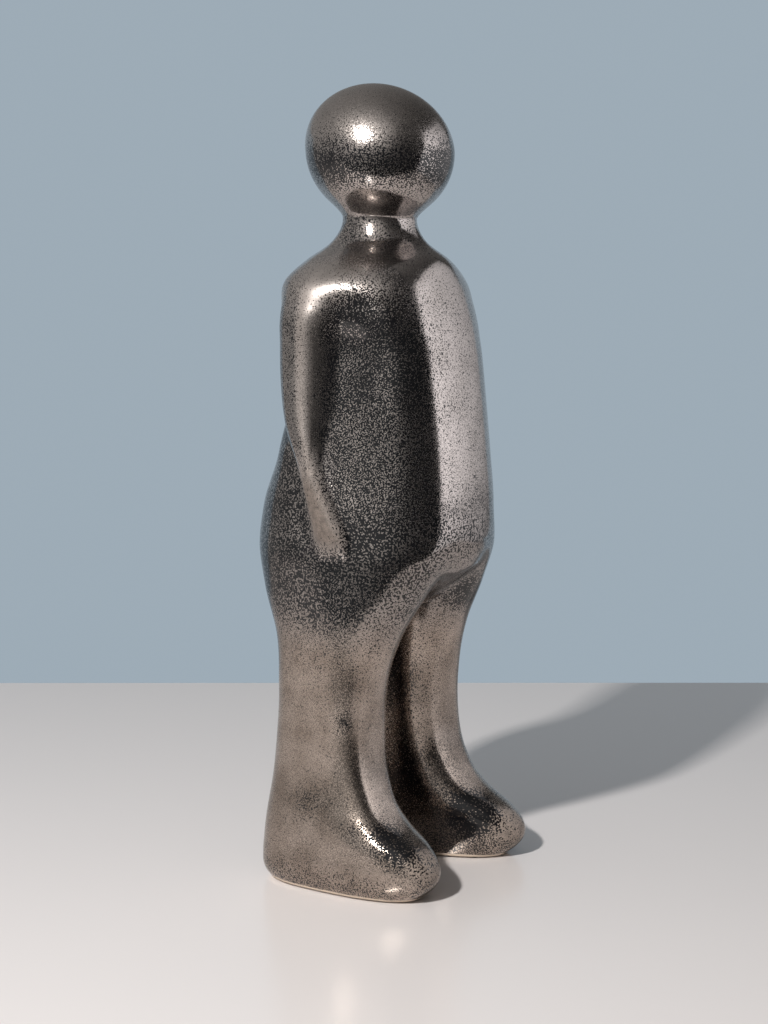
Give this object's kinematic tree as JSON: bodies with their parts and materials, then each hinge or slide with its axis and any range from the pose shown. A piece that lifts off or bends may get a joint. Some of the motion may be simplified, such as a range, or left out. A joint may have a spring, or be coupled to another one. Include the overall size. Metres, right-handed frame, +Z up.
{
  "type": "standing figure statuette",
  "caption": "Hollow glazed ceramic standing figure with a blank round head and arms in relief, stoppered and padded under its feet, for display on a shelf or counter.",
  "frame": {"origin": "on the resting surface, under the middle of the figure's width and depth", "axes": "+Z up, the figure faces -Y, and its own left side is +X"},
  "size_m": [0.1262, 0.1197, 0.4],
  "materials": {
    "metallic_glaze": "mirror-like gunmetal glaze with fine black speckle",
    "stopper_rubber": "soft matt moulded rubber",
    "pad_felt": "dense self-adhesive felt"
  },
  "bodies": {
    "root": {"figure_casting": "metallic_glaze", "right_pour_stopper": "stopper_rubber", "left_pour_stopper": "stopper_rubber", "right_heel_pad": "pad_felt", "right_inner_ball_pad": "pad_felt", "right_outer_ball_pad": "pad_felt", "left_heel_pad": "pad_felt", "left_inner_ball_pad": "pad_felt", "left_outer_ball_pad": "pad_felt"}
  },
  "joints": []
}
